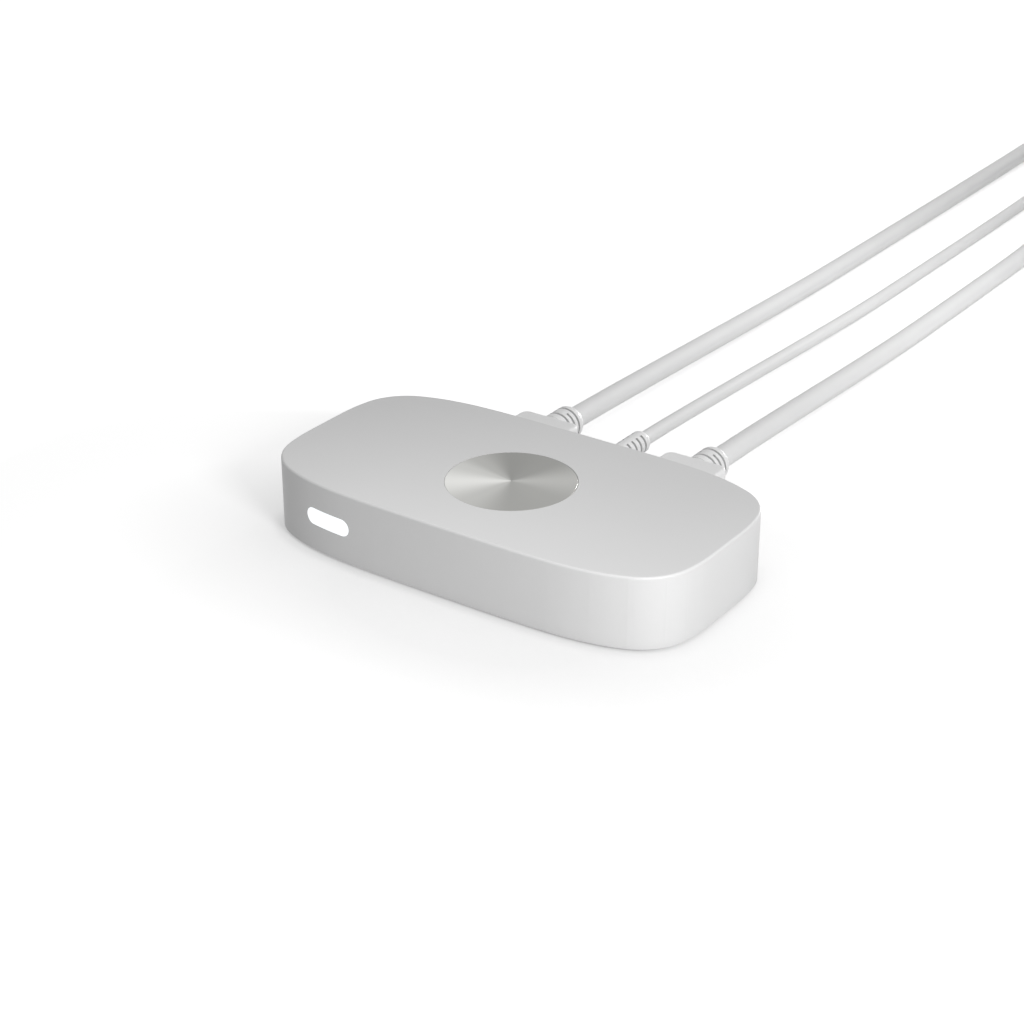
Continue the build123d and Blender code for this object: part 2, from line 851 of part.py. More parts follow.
def coil_tube(name, path, diameter):
    """One unbroken tube along the coil's path, with flat-sided section."""
    section = cord_section(path, diameter, coil_section_sides)
    tube = sweep(section, path=path)
    print(f"{name}: {path.length:.1f} long, least gap {least_gap(path, diameter):.2f},"
          f" volume {tube.volume:.0f} of {section.area * path.length:.0f}")
    return tube


def cable_tie(centre, radius, half_turns, diameter, base_z):
    """Soft strap round the bundle at the right of the coil."""
    pitch = diameter + coil_side_gap
    rise = diameter + coil_layer_gap
    inner_x = radius - half_turns * pitch / 2 - diameter / 2 - tie_gap
    outer_x = radius + diameter / 2 + tie_gap
    low = base_z - diameter / 2 - tie_gap / 3
    high = base_z + rise + diameter / 2 + tie_gap / 3
    hole = RectangleRounded(outer_x - inner_x, high - low, tie_round)
    band = RectangleRounded(outer_x - inner_x + 2 * tie_thickness, high - low + 2 * tie_thickness,
                            tie_round + tie_thickness)
    face = Pos(centre[0] + (inner_x + outer_x) / 2, (high + low) / 2) * (band - hole)
    return along_y(face, centre[1] - tie_width / 2, tie_width)


def cable(name, port_x, plug, far_plug, cord_diameter, hood_length, relief_length,
          far_hood_length, far_radius, coil_radius, half_turns, coil_y, tight,
          touch_y, leaves_view_y):
    """A whole cable: plug, cord down to the table, coil of the spare length and far plug."""
    for piece, shape in zip(("plug_shell", "plug_insert", "plug_hood", "plug_relief"), plug):
        write(f"{name}_{piece}", Pos(port_x, hood_front_y, port_height) * shape)
    relief_end = hood_front_y + hood_length + relief_length
    lying = cord_diameter / 2
    base_z = lying + tie_thickness + tie_gap / 3
    centre = (port_x + coil_radius, coil_y)
    entry_y = coil_y - cord_diameter
    bend_y = (leaves_view_y + entry_y) / 2
    points = [
        (port_x, relief_end, port_height),
        (port_x, relief_end + 12, port_height),
        (port_x, touch_y - 8, lying + 0.3),
        (port_x, touch_y + 35, lying),
        (port_x, leaves_view_y, lying),
        (port_x - 1.2, bend_y, lying + 0.4),
        (port_x, (bend_y + entry_y) / 2, base_z),
        (port_x, entry_y, base_z),
    ]
    tube, free_length = cord_tube(f"{name}_cord", points, cord_diameter)
    write(f"{name}_cord", tube)
    rise = cord_diameter + coil_layer_gap
    far_z = base_z + rise + cord_diameter / 2 + far_radius + plug_rest_gap
    path = coil_path(centre, coil_radius, half_turns, cord_diameter, base_z, far_z, tight)
    write(f"{name}_coil", coil_tube(f"{name}_coil", path, cord_diameter))
    write(f"{name}_cable_tie", cable_tie(centre, coil_radius, half_turns, cord_diameter, base_z))
    end = path @ 1
    turned = Pos(end.X + relief_length + far_hood_length, end.Y, end.Z) * Rot(0, 0, 90)
    for piece, shape in zip(("far_shell", "far_insert", "far_hood", "far_relief"), far_plug):
        write(f"{name}_{piece}", turned * shape)
    print(f"{name}: cord {free_length + path.length:.0f} long in all")


write("upper_shell", upper_shell())
write("base_cover", base_cover())
write("badge_disc", badge_disc())
write("status_lens", status_lens())
write("light_guide", light_guide())
write("status_leds", status_leds())
write("rubber_feet", rubber_feet())
write("case_screws", case_screws())
write("board_screws", board_screws())
write("main_board", main_board())
write("video_in_socket_shell", video_socket_shell(-1))
write("video_out_socket_shell", video_socket_shell(1))
write("video_socket_tongues", video_socket_tongues())
write("data_socket_shell", data_socket_shell())
write("data_socket_tongue", data_socket_tongue())
write("socket_contacts", socket_contacts())
write("video_processor", video_processor())
write("thermal_pad", thermal_pad())
write("heat_sink", heat_sink())
write("memory_chips", memory_chips())
write("signal_retimers", signal_retimers())
write("power_inductors", power_inductors())
write("power_capacitors", power_capacitors())
write("clock_crystal", clock_crystal())
write("ceramic_capacitors", ceramic_capacitors())

cable("video_in", -port_spacing, video_plug(), video_plug(), video_cord_diameter,
      video_hood_length, video_relief_length, video_hood_length, video_relief_radius,
      36.0, 3, 441.0, 24.0, 181.0, 354.0)
cable("video_out", port_spacing, video_plug(), video_plug(), video_cord_diameter,
      video_hood_length, video_relief_length, video_hood_length, video_relief_radius,
      37.0, 4, 290.0, 24.0, 158.0, 252.0)
cable("data", 0.0, data_plug(), far_data_plug(), data_cord_diameter,
      data_hood_length, data_relief_length, far_data_hood_length, far_data_hood_height / 2,
      27.0, 4, 364.0, 18.0, 178.0, 304.0)
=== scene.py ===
import math
import bpy
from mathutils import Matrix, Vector


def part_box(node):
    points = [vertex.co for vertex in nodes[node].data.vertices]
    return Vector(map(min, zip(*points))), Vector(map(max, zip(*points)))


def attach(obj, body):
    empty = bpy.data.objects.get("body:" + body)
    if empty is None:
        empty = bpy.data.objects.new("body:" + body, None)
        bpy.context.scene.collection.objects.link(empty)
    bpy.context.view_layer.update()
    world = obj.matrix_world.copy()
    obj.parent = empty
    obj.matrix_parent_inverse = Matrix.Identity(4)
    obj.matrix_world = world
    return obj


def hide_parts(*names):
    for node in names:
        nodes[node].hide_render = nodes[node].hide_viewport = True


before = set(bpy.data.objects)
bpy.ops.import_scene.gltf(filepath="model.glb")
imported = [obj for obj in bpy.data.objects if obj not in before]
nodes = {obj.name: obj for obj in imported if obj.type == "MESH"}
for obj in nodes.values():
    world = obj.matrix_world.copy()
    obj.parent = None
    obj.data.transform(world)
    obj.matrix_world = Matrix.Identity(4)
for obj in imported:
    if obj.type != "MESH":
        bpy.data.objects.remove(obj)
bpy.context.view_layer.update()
mm = 0.001
print("frame loaded:", len(nodes), "nodes")


# The camera, fitted to the photograph.
cameraValues = {
    "place": (0.25195, -0.36186, 0.23206),
    "turn": 34.94,       # degrees to the right of straight on
    "tilt": 26.777,      # degrees looking down
    "lens": 74.83,       # millimetres, and so is the film
    "film": 36.0,
    "clip": (0.01, 20),  # nearest and farthest that it sees
}


def putAndAim(thing, place, look):
    thing.location = place
    thing.rotation_euler = look.to_track_quat("-Z", "Y").to_euler()
    bpy.context.scene.collection.objects.link(thing)


def makeCamera(values):
    turn = math.radians(values["turn"])
    tilt = math.radians(values["tilt"])
    look = Vector((-math.sin(turn) * math.cos(tilt), math.cos(turn) * math.cos(tilt), -math.sin(tilt)))
    data = bpy.data.cameras.new("camera")
    data.lens = values["lens"]
    data.sensor_width = values["film"]
    data.clip_start, data.clip_end = values["clip"]
    camera = bpy.data.objects.new("camera", data)
    putAndAim(camera, values["place"], look)
    bpy.context.scene.camera = camera


makeCamera(cameraValues)
print("camera set")


# Helpers for the materials.
def linearColour(hexText):
    parts = [int(hexText[i:i + 2], 16) / 255 for i in (1, 3, 5)]
    return tuple(p / 12.92 if p <= 0.04045 else ((p + 0.055) / 1.055) ** 2.4 for p in parts) + (1.0,)


def addNode(tree, kind, settings=None, links=None):
    # a setting is one of the node's own, or the value of a socket by its name or number
    node = tree.nodes.new(kind)
    for name, value in (settings or {}).items():
        if isinstance(name, str) and hasattr(node, name):
            setattr(node, name, value)
        else:
            node.inputs[name].default_value = value
    for name, source in (links or {}).items():
        tree.links.new(source, node.inputs[name])
    return node


def newTree(name):
    material = bpy.data.materials.new(name)
    material.use_nodes = True
    material.node_tree.nodes.clear()
    return material, material.node_tree


# What a finish's values may hold: plain numbers for the shader, and patterns, whose sizes are in
# millimetres. patch is the size of its patches of tone and roughPatch that of its duller and glossier
# ones, grain is the size of the grain and grainHeight the height from its pits to its tops.
plainNumbers = {"metallic": "Metallic", "ior": "IOR", "evenRoughness": "Roughness", "sheen": "Sheen Weight",
                "clearness": "Transmission Weight", "glow": "Emission Strength"}
noiseDetail = {"tone": 3.0, "roughness": 4.0, "grain": 2.0}


def startFinish(name, values):
    material, tree = newTree(name)
    shader = addNode(tree, "ShaderNodeBsdfPrincipled")
    addNode(tree, "ShaderNodeOutputMaterial", links={"Surface": shader.outputs[0]})
    for key, socket in plainNumbers.items():
        if key in values:
            shader.inputs[socket].default_value = values[key]
    place = addNode(tree, "ShaderNodeTexCoord").outputs["Object"]
    if "stretch" in values:
        place = addNode(tree, "ShaderNodeMapping", {"Scale": values["stretch"]}, {"Vector": place}).outputs[0]
    return material, tree, shader, place


def toneSpread(tree, place, values):
    low, high = values["tones"]
    noise = addNode(tree, "ShaderNodeTexNoise", {
        "Scale": 1 / (values["patch"] * mm), "Detail": noiseDetail["tone"]}, {"Vector": place})
    mix = addNode(tree, "ShaderNodeMix", {
        "data_type": "RGBA", 6: linearColour(low), 7: linearColour(high)}, {0: noise.outputs["Fac"]})
    return mix.outputs[2]


def roughnessSpread(tree, place, values):
    low, high = values["roughness"]
    noise = addNode(tree, "ShaderNodeTexNoise", {
        "Scale": 1 / (values["roughPatch"] * mm), "Detail": noiseDetail["roughness"]}, {"Vector": place})
    spread = addNode(tree, "ShaderNodeMapRange", {"To Min": low, "To Max": high}, {
        "Value": noise.outputs["Fac"]})
    return spread.outputs[0]


def grainBump(tree, place, values):
    noise = addNode(tree, "ShaderNodeTexNoise", {
        "Scale": 1 / (values["grain"] * mm), "Detail": noiseDetail["grain"]}, {"Vector": place})
    bump = addNode(tree, "ShaderNodeBump", {"Distance": values["grainHeight"] * mm},
                   {"Height": noise.outputs["Fac"]})
    return bump.outputs[0]


def makeFinish(name, values):
    material, tree, shader, place = startFinish(name, values)
    tree.links.new(toneSpread(tree, place, values), shader.inputs["Base Color"])
    tree.links.new(roughnessSpread(tree, place, values), shader.inputs["Roughness"])
    if "grain" in values:
        tree.links.new(grainBump(tree, place, values), shader.inputs["Normal"])
    return material


def dress(names, material):
    for name in names:
        slots = nodes[name].data.materials
        slots.clear()
        slots.append(material)


# White ABS, injection moulded in a spark-eroded mould: satin, with a grain that only breaks up the
# highlights. The real grain is about 0.08 mm; it is drawn at 0.35 mm, so that it shows. The other
# grains below, which are as fine, are drawn at 0.15 to 0.5 mm.
housingValues = {"ior": 1.53, "patch": 30, "tones": ("#DADADA", "#DEDEDE"),
                 "roughPatch": 7.5, "roughness": (0.42, 0.5), "grain": 0.35, "grainHeight": 0.006}
dress(["upper_shell", "base_cover"], makeFinish("mouldedAbs", housingValues))


# Frosted acrylic window, lit from behind by white diodes: an even cool white with the faintest clouds.
windowValues = {"ior": 1.49, "evenRoughness": 0.3, "glow": 0.62,
                "patch": 3.0, "tones": ("#F4F9FC", "#FBFEFF"), "grain": 0.3, "grainHeight": 0.004}


def frostedAcrylic(values):
    material, tree, shader, place = startFinish("frostedAcrylic", values)
    white = toneSpread(tree, place, values)
    tree.links.new(white, shader.inputs["Emission Color"])
    tree.links.new(white, shader.inputs["Base Color"])
    tree.links.new(grainBump(tree, place, values), shader.inputs["Normal"])
    return material


dress(["status_lens"], frostedAcrylic(windowValues))

# Clear acrylic bar behind the window: polished, and a little uneven from the mould.
lightGuideValues = {"ior": 1.49, "clearness": 0.9, "patch": 4, "tones": ("#F2F6F7", "#FFFFFF"),
                    "roughPatch": 2, "roughness": (0.04, 0.12)}
dress(["light_guide"], makeFinish("clearAcrylic", lightGuideValues))

# Rubber pads: die-cut silicone, matt and slightly dusty.
footValues = {"ior": 1.41, "patch": 3, "tones": ("#8E8E8E", "#A0A0A0"),
              "roughPatch": 1, "roughness": (0.75, 0.9), "grain": 0.25, "grainHeight": 0.02}
dress(["rubber_feet"], makeFinish("siliconeRubber", footValues))
print("housing plastics made")


# Aluminium inlay, spun against a fine abrasive, with rings round its middle. The bright and dark fans are
# painted highlights and painted shade in its colour: a fan's tone is given by its angle round the middle,
# in degrees from the right-hand end of the housing. The real rings are some 0.05 mm apart and drawn at
# 0.35 mm, so that they show.
inlayValues = {
    "metallic": 1.0, "roughPatch": 5, "roughness": (0.3, 0.38),
    "paintedFans": [(-180, "#D6D6D3"), (-145, "#F4F4F1"), (-100, "#CDCDCA"), (-55, "#AEAEAB"), (-10, "#B2B2AF"),
             (35, "#C6C6C3"), (80, "#A3A3A0"), (125, "#9C9C99"), (160, "#BEBEBB"), (180, "#D6D6D3")],
    "ringPitch": 0.35, "ringHeight": 0.003, "ringStrength": 0.5,
}


def spunAluminium(values):
    material, tree, shader, place = startFinish("spunAluminium", values)
    low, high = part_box("badge_disc")
    centred = addNode(tree, "ShaderNodeVectorMath", {
        "operation": "SUBTRACT", 1: (low + high) / 2}, {0: place})
    turn = addNode(tree, "ShaderNodeTexGradient", {"gradient_type": "RADIAL"}, {"Vector": centred.outputs[0]})
    # painted highlights and painted shade of the fans, set by the angle round the middle
    tones = addNode(tree, "ShaderNodeValToRGB", links={"Fac": turn.outputs["Fac"]})
    tones.color_ramp.interpolation = "EASE"
    stops = tones.color_ramp.elements
    for degrees, colour in values["paintedFans"][1:-1]:
        stops.new(degrees / 360 + 0.5)
    for stop, (degrees, colour) in zip(stops, values["paintedFans"]):
        stop.color = linearColour(colour)
    tree.links.new(tones.outputs["Color"], shader.inputs["Base Color"])
    radius = addNode(tree, "ShaderNodeVectorMath", {"operation": "LENGTH"}, {0: centred.outputs[0]})
    rings = addNode(tree, "ShaderNodeMath", {
        "operation": "MULTIPLY", 1: 2 * math.pi / (values["ringPitch"] * mm)}, {0: radius.outputs["Value"]})
    wave = addNode(tree, "ShaderNodeMath", {"operation": "SINE"}, {0: rings.outputs[0]})
    bump = addNode(tree, "ShaderNodeBump", {
        "Strength": values["ringStrength"], "Distance": values["ringHeight"] * mm},
        {"Height": wave.outputs[0]})
    tree.links.new(bump.outputs[0], shader.inputs["Normal"])
    tree.links.new(roughnessSpread(tree, place, values), shader.inputs["Roughness"])
    return material


dress(["badge_disc"], spunAluminium(inlayValues))

# Nickel-plated steel, stamped and folded: even and bright, with faint rolling streaks.
platedValues = {"metallic": 1.0, "stretch": (1, 0.12, 1), "patch": 3.5, "tones": ("#BFBDB6", "#C9C7C1"),
                "roughPatch": 3.0, "roughness": (0.24, 0.3)}
platedSteel = makeFinish("nickelPlatedSteel", platedValues)
dress(["video_in_socket_shell", "video_out_socket_shell", "data_socket_shell", "clock_crystal"], platedSteel)

# Zinc-plated steel of the screws: cold-headed, a little blue.
screwValues = {"metallic": 1.0, "patch": 0.8, "tones": ("#A4A7AB", "#BCBFC2"),
               "roughPatch": 0.4, "roughness": (0.25, 0.4)}
dress(["case_screws", "board_screws"], makeFinish("zincSteel", screwValues))

# Extruded aluminium: drawn lines along the fins.
sinkValues = {"metallic": 1.0, "stretch": (1, 0.05, 1), "patch": 0.5, "tones": ("#B0B1B3", "#C4C5C7"),
              "roughPatch": 0.4, "roughness": (0.3, 0.45)}
dress(["heat_sink", "power_capacitors"], makeFinish("extrudedAluminium", sinkValues))

# Gold flash over copper alloy springs: warm and bright.
contactValues = {"metallic": 1.0, "patch": 0.5, "tones": ("#D8A94E", "#E6BE6A"),
                 "roughPatch": 0.3, "roughness": (0.18, 0.28)}
dress(["socket_contacts"], makeFinish("goldFlash", contactValues))
print("metals made")


# Glass-epoxy board under a green solder mask: satin, with the weave just showing through.
boardValues = {"ior": 1.5, "patch": 0.9, "tones": ("#0F4A26", "#15602F"),
               "roughPatch": 2, "roughness": (0.28, 0.4), "grain": 0.5, "grainHeight": 0.02}
dress(["main_board"], makeFinish("solderMask", boardValues))

# Epoxy moulding compound of the chips: dark grey, fine and matt.
chipValues = {"ior": 1.55, "patch": 0.4, "tones": ("#232426", "#2E2F31"),
              "roughPatch": 0.5, "roughness": (0.55, 0.7), "grain": 0.15, "grainHeight": 0.01}
dress(["video_processor", "memory_chips", "signal_retimers"], makeFinish("epoxyCompound", chipValues))

# Black glass-filled polymer of the sockets and plug inserts: moulded, semi-matt.
insertValues = {"ior": 1.6, "patch": 0.7, "tones": ("#1B1B1C", "#262627"),
                "roughPatch": 0.8, "roughness": (0.4, 0.52)}
polymer = makeFinish("blackPolymer", insertValues)
dress(["video_socket_tongues", "data_socket_tongue"], polymer)

# Silicone gap pad: soft, blue-grey, with ceramic powder in it.
padValues = {"patch": 0.5, "tones": ("#7E8FA0", "#93A3B2"), "roughPatch": 1, "roughness": (0.8, 0.9)}
dress(["thermal_pad"], makeFinish("gapPad", padValues))

# Pressed ferrite powder of the inductors: dark, mottled and dull.
inductorValues = {"patch": 0.3, "tones": ("#3A3A3C", "#57575A"),
                  "roughPatch": 0.6, "roughness": (0.6, 0.8), "grain": 0.2, "grainHeight": 0.03}
dress(["power_inductors"], makeFinish("pressedFerrite", inductorValues))

# Fired barium titanate of the small capacitors: tan, with a slight gloss.
capacitorValues = {"patch": 0.5, "tones": ("#A58563", "#BC9C78"), "roughPatch": 0.5, "roughness": (0.35, 0.5)}
dress(["ceramic_capacitors"], makeFinish("firedCeramic", capacitorValues))

# Silicone resin of the diodes, cast: yellow with phosphor.
diodeValues = {"ior": 1.45, "patch": 0.3, "tones": ("#E9D77A", "#F3E6A0"),
               "roughPatch": 0.5, "roughness": (0.25, 0.35)}
dress(["status_leds"], makeFinish("phosphorResin", diodeValues))
print("board materials made")


# Soft white PVC of the plugs' grips, moulded over them: satin, a shade brighter than the housing. Painted
# shade darkens the slits between the ribs of the reliefs and the other crevices: closed in to slitShut and
# below, the colour is darkened to the painted slit shade. The grain is drawn as coarse as the housing's.
gripValues = {"ior": 1.53, "patch": 12, "tones": ("#EAEAEA", "#EFEFEF"),
              "roughPatch": 3, "roughness": (0.38, 0.46), "grain": 0.4, "grainHeight": 0.006,
              "slitReach": 0.9, "slitShut": 0.3, "slitPaintedShade": 0.45, "slitSamples": 6}


def mouldedPvc(values):
    material, tree, shader, place = startFinish("mouldedPvc", values)
    # painted shade: the colour is darkened where slits and crevices close in round it
    openness = addNode(tree, "ShaderNodeAmbientOcclusion", {
        "samples": values["slitSamples"], "Distance": values["slitReach"] * mm})
    share = addNode(tree, "ShaderNodeMapRange", {
        "From Min": values["slitShut"], "To Min": values["slitPaintedShade"]}, {"Value": openness.outputs["AO"]})
    paintedShadeSkin = addNode(tree, "ShaderNodeVectorMath", {"operation": "SCALE"}, {
        0: toneSpread(tree, place, values), "Scale": share.outputs[0]})
    tree.links.new(paintedShadeSkin.outputs[0], shader.inputs["Base Color"])
    tree.links.new(roughnessSpread(tree, place, values), shader.inputs["Roughness"])
    tree.links.new(grainBump(tree, place, values), shader.inputs["Normal"])
    return material


# Extruded PVC jacket of the cords: smooth, a little glossier than the grips, with slow swells.
jacketValues = {"ior": 1.53, "patch": 9, "tones": ("#E3E3E3", "#E9E9E9"),
                "roughPatch": 3, "roughness": (0.3, 0.38), "grain": 2.5, "grainHeight": 0.01}

# Woven nylon loop strap: ribs of thread 0.5 mm apart across the strap.
strapValues = {"evenRoughness": 0.85, "sheen": 0.3, "patch": 0.6, "tones": ("#C4C4C4", "#D6D6D6"),
               "thread": 0.5, "threadHeight": 0.12, "threadStrength": 0.7, "unevenness": 0.6,
               "ribGap": 1 / 3.14}  # between the ribs of a wave texture whose scale is 1


def wovenNylon(values):
    material, tree, shader, place = startFinish("wovenNylon", values)
    wave = addNode(tree, "ShaderNodeTexWave", {
        "bands_direction": "Y", "Scale": values["ribGap"] / (values["thread"] * mm),
        "Distortion": values["unevenness"]}, {"Vector": place})
    bump = addNode(tree, "ShaderNodeBump", {
        "Strength": values["threadStrength"], "Distance": values["threadHeight"] * mm},
        {"Height": wave.outputs["Fac"]})
    tree.links.new(bump.outputs[0], shader.inputs["Normal"])
    tree.links.new(toneSpread(tree, place, values), shader.inputs["Base Color"])
    return material


grip = mouldedPvc(gripValues)
jacket = makeFinish("extrudedPvc", jacketValues)
strap = wovenNylon(strapValues)
print("cable materials made")

# Each route is in millimetres, from the strain relief of the plug to the start of its coil.
cableValues = {
    "video_in": {
        "diameter": 5.7, "length": 1.193, "stiffness": "medium",
        "route": [(-21.4, 55.9, 6.6), (-21.4, 67.9, 6.6), (-21.4, 173, 3.15), (-21.4, 216, 2.85),
                  (-21.4, 354, 2.85), (-22.6, 394.65, 3.25), (-21.4, 414.975, 3.7), (-21.4, 435.3, 3.7)],
        "coilMiddle": (14.6, 441), "coilRadius": 36, "halfTurns": 3, "tight": 24, "farHeight": 17.35,
    },
    "video_out": {
        "diameter": 5.7, "length": 1.206, "stiffness": "medium",
        "route": [(21.4, 55.9, 6.6), (21.4, 67.9, 6.6), (21.4, 150, 3.15), (21.4, 193, 2.85),
                  (21.4, 252, 2.85), (20.2, 268.15, 3.25), (21.4, 276.225, 3.7), (21.4, 284.3, 3.7)],
        "coilMiddle": (58.4, 290), "coilRadius": 37, "halfTurns": 4, "tight": 24, "farHeight": 17.35,
    },
    "data": {
        "diameter": 3.85, "length": 1.012, "stiffness": "medium",
        "route": [(0, 55.9, 6.6), (0, 67.9, 6.6), (0, 170, 2.225), (0, 213, 1.925),
                  (0, 304, 1.925), (-1.2, 332.075, 2.325), (0, 346.1125, 2.775), (0, 360.15, 2.775)],
        "coilMiddle": (27, 364), "coilRadius": 27, "halfTurns": 4, "tight": 18, "farHeight": 13.15,
    },
}
coilValues = {"sideGap": 1.8, "layerGap": 0.5, "pointsPerHalfTurn": 12}
tubeValues = {"stepsPerPoint": 6, "stepsRound": 7}


def coilPoints(cable):
    # in along the table, up a layer, out again, over the top and in to the far plug
    count = coilValues["pointsPerHalfTurn"]
    swell = 1 / math.cos(math.pi / count / 2)  # the spline cuts inside its points by this much
    pitch = cable["diameter"] + coilValues["sideGap"]
    rise = cable["diameter"] + coilValues["layerGap"]
    middleX, middleY = cable["coilMiddle"]
    radius = cable["coilRadius"]
    baseZ = cable["route"][-1][2]
    turns = cable["halfTurns"]
    steps = [(-pitch / 2, 0)] * turns + [(0, rise)] + [(pitch / 2, 0)] * turns
    steps.append((0, cable["farHeight"] - baseZ - rise))
    side = -1
    here = Vector((middleX - radius, middleY, baseZ))
    forward = Vector((0, 1, 0))
    points = []
    for change, climb in steps:
        radius += change
        side = -side
        there = Vector((middleX + side * radius, middleY, here.z + climb))
        centre = (here + there) / 2
        arm = (there - here) / 2
        for k in range(count):
            angle = (k + 0.5) * math.pi / count
            spoke = forward * arm.length * math.sin(angle) - arm * math.cos(angle)
            points.append(centre + spoke * swell)
        here = there
        forward = -forward
    tight = cable["tight"]
    for k in range(count // 2):
        angle = (k + 0.5) * math.pi / count
        sideways, ahead = tight * swell * math.cos(angle), tight * swell * math.sin(angle)
        points.append(here + Vector((tight - sideways, ahead, 0)))
    points.append(here + Vector((tight, tight, 0)))
    points.append(here + Vector((tight + cable["diameter"], tight, 0)))
    return points


def makeCord(name, cable):
    points = [Vector(p) for p in cable["route"]] + coilPoints(cable)
    data = bpy.data.curves.new(name + "_line", "CURVE")
    data.dimensions = "3D"
    data.resolution_u = tubeValues["stepsPerPoint"]
    data.bevel_depth = cable["diameter"] / 2 * mm
    data.bevel_resolution = tubeValues["stepsRound"]
    data.use_fill_caps = True
    spline = data.splines.new("NURBS")
    spline.points.add(len(points) - 1)
    for slot, point in zip(spline.points, points):
        slot.co = (*(point * mm), 1)
    spline.order_u = 3
    spline.use_endpoint_u = True
    cord = bpy.data.objects.new(name + "_line", data)
    bpy.context.scene.collection.objects.link(cord)
    data.materials.append(jacket)
    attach(cord, name + "_cable")
    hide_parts(name + "_cord", name + "_coil")


for name, cable in cableValues.items():
    makeCord(name, cable)
    dress([name + "_plug_hood", name + "_far_hood", name + "_plug_relief", name + "_far_relief"], grip)
    dress([name + "_plug_shell", name + "_far_shell"], platedSteel)
    dress([name + "_plug_insert", name + "_far_insert"], polymer)
    dress([name + "_cable_tie"], strap)
    print("cable made:", name)


# The floor is a sweep of matt white paper. For the camera it adds some white of its own: more to the
# left and far off, where the lamps give it less, as painted light; and less in an oval round the front of
# the housing, as a painted shadow.
floorValues = {
    "size": 8.0, "colour": "#C4C4C4",
    "sideways": (-0.912, 0.411, 0), "sideReach": (-0.54, 0.34), "sidePaintedLight": (0.2, 0.9),
    "ovalScale": (0.592, 1, 1), "ovalShift": (-0.0042, 0.0282, 0),
    "ovalReach": (0.0206, 0.062), "ovalPaintedShadow": (0.648, 1),
    "farReach": (0.05, 0.09), "farWhite": (0.2, 0.82),
    "shadeReach": 0.035, "shadeDepth": 0.4, "shadeSamples": 6,  # under what stands close over the paper
    "underReach": 0.003,
}


def makeSeen(tree, straight=1.0, mirrored=1.0):
    # how much of its white the room shows: straight or through clear plastic, and in a mirror
    path = addNode(tree, "ShaderNodeLightPath").outputs
    seen = addNode(tree, "ShaderNodeMath", {"operation": "MAXIMUM"}, {
        0: path["Is Camera Ray"], 1: path["Is Transmission Ray"]})
    plain = addNode(tree, "ShaderNodeMath", {"operation": "MULTIPLY", 1: straight}, {0: seen.outputs[0]})
    glossy = addNode(tree, "ShaderNodeMath", {"operation": "MULTIPLY", 1: mirrored}, {
        0: path["Is Glossy Ray"]})
    most = addNode(tree, "ShaderNodeMath", {"operation": "MAXIMUM"}, {
        0: plain.outputs[0], 1: glossy.outputs[0]})
    return most.outputs[0]


def ownWhite(tree, values):
    place = addNode(tree, "ShaderNodeTexCoord").outputs["Object"]
    side = addNode(tree, "ShaderNodeVectorMath", {
        "operation": "DOT_PRODUCT", 1: values["sideways"]}, {0: place})
    oval = addNode(tree, "ShaderNodeVectorMath", {
        "operation": "MULTIPLY_ADD", 1: values["ovalScale"], 2: values["ovalShift"]}, {0: place})
    away = addNode(tree, "ShaderNodeVectorMath", {"operation": "LENGTH"}, {0: oval.outputs[0]})
    openness = addNode(tree, "ShaderNodeAmbientOcclusion", {
        "samples": values["shadeSamples"], "Distance": values["shadeReach"]})
    shares = []
    # painted light to the side, a painted shadow in the oval, and painted shade under what stands close
    for measure, reach, share in (
            (side.outputs["Value"], values["sideReach"], values["sidePaintedLight"]),
            (away.outputs["Value"], values["ovalReach"], values["ovalPaintedShadow"]),
            (away.outputs["Value"], values["farReach"], values["farWhite"]),
            (openness.outputs["AO"], (0, 1), (1 - values["shadeDepth"], 1))):
        mapped = addNode(tree, "ShaderNodeMapRange", {
            "From Min": reach[0], "From Max": reach[1], "To Min": share[0], "To Max": share[1]},
            {"Value": measure})
        shares.append(mapped.outputs[0])
    sidePaintedLight, ovalPaintedShadow, farWhite, shade = shares
    close = addNode(tree, "ShaderNodeMath", {"operation": "MULTIPLY"}, {0: sidePaintedLight, 1: ovalPaintedShadow})
    most = addNode(tree, "ShaderNodeMath", {"operation": "MAXIMUM"}, {0: close.outputs[0], 1: farWhite})
    white = makeSeen(tree)
    for factor in (most.outputs[0], shade):
        white = addNode(tree, "ShaderNodeMath", {"operation": "MULTIPLY"}, {0: white, 1: factor}).outputs[0]
    return white


def paperSweep(values):
    material, tree = newTree("paperSweep")
    paper = addNode(tree, "ShaderNodeBsdfDiffuse", {"Color": linearColour(values["colour"])})
    glow = addNode(tree, "ShaderNodeEmission", links={"Strength": ownWhite(tree, values)})
    both = addNode(tree, "ShaderNodeAddShader", links={0: paper.outputs[0], 1: glow.outputs[0]})
    # from below the paper is clear, and it lets a little light through to the underside
    path = addNode(tree, "ShaderNodeLightPath").outputs
    near = addNode(tree, "ShaderNodeMath", {"operation": "LESS_THAN", 1: values["underReach"]}, {
        0: path["Ray Length"]})
    through = addNode(tree, "ShaderNodeMath", {"operation": "MULTIPLY"}, {
        0: near.outputs[0], 1: path["Is Diffuse Ray"]})
    below = addNode(tree, "ShaderNodeMath", {"operation": "MAXIMUM"}, {
        0: addNode(tree, "ShaderNodeNewGeometry").outputs["Backfacing"], 1: through.outputs[0]})
    clear = addNode(tree, "ShaderNodeBsdfTransparent")
    sheet = addNode(tree, "ShaderNodeMixShader", links={
        0: below.outputs[0], 1: both.outputs[0], 2: clear.outputs[0]})
    addNode(tree, "ShaderNodeOutputMaterial", links={"Surface": sheet.outputs[0]})
    return material


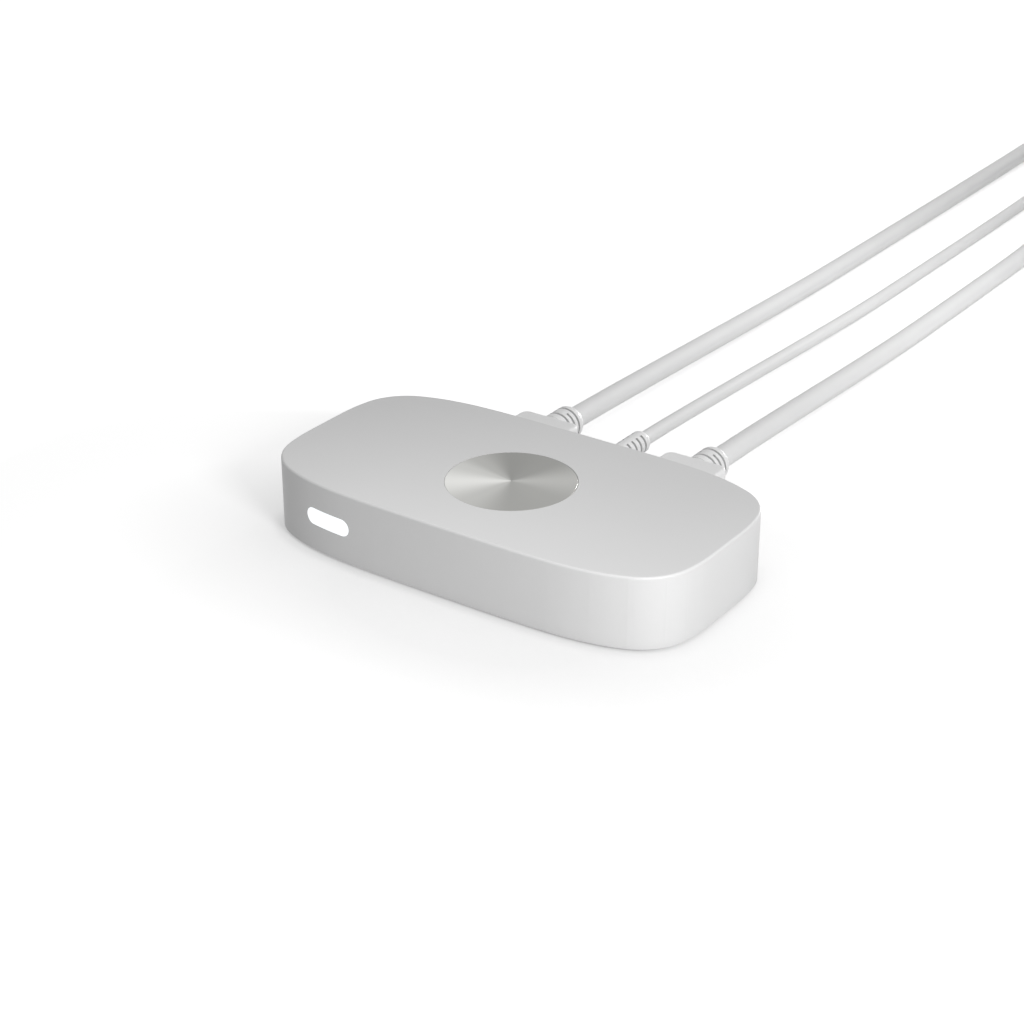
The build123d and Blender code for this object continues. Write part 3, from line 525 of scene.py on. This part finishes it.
def makeFloor(values):
    half = values["size"] / 2
    corners = [(-half, -half, 0), (half, -half, 0), (half, half, 0), (-half, half, 0)]
    mesh = bpy.data.meshes.new("floor")
    mesh.from_pydata(corners, [], [(0, 1, 2, 3)])
    mesh.materials.append(paperSweep(values))
    floor = bpy.data.objects.new("floor", mesh)
    bpy.context.scene.collection.objects.link(floor)


# A plain white surround: dim as a lamp, bright where it is seen.
surroundValues = {"white": "#FFFFFF", "ambient": 0.366, "mirrored": 0.8, "backdrop": 1.0}


def makeWorld(values):
    world = bpy.data.worlds.new("room")
    world.use_nodes = True
    tree = world.node_tree
    tree.nodes.clear()
    seen = makeSeen(tree, values["backdrop"], values["mirrored"])
    share = addNode(tree, "ShaderNodeMath", {"operation": "MAXIMUM", 1: values["ambient"]}, {0: seen})
    back = addNode(tree, "ShaderNodeBackground", {"Color": linearColour(values["white"])},
                   {"Strength": share.outputs[0]})
    addNode(tree, "ShaderNodeOutputWorld", links={"Surface": back.outputs[0]})
    bpy.context.scene.world = world


# Round soft boxes, in metres, degrees and watts.
lampValues = {
    "keyLamp": {"place": (0.24, -0.14, 0.16), "aim": (0.0, 0.0, 0.0),
                "size": 0.1, "spread": 180, "power": 0.642},
    "roofLamp": {"place": (-0.015, 0.005, 0.40), "aim": (-0.012, -0.056, 0.018),
                 "size": 0.06, "spread": 30, "power": 0.0102},
    "cordLamp": {"place": (0.30, 0.25, 0.40), "aim": (0.02, 0.20, 0.0),
                 "size": 0.12, "spread": 38, "power": 0.056},
    "coilLamp": {"place": (0.06, 0.56, 0.50), "aim": (0.035, 0.40, 0.0),
                 "size": 0.12, "spread": 30, "power": 0.034},
    "rearLamp": {"place": (0.0, 1.3, 0.07), "aim": (0.0, 0.03, 0.01),
                 "size": 0.06, "spread": 10, "power": 0.02},
}


def makeLamp(name, values):
    data = bpy.data.lights.new(name, "AREA")
    data.shape = "DISK"
    data.size = values["size"]
    data.spread = math.radians(values["spread"])
    data.energy = values["power"]
    lamp = bpy.data.objects.new(name, data)
    putAndAim(lamp, values["place"], Vector(values["aim"]) - Vector(values["place"]))


makeFloor(floorValues)
makeWorld(surroundValues)
for name, values in lampValues.items():
    makeLamp(name, values)
bpy.context.scene.view_settings.view_transform = "Standard"
print("room and lamps made")
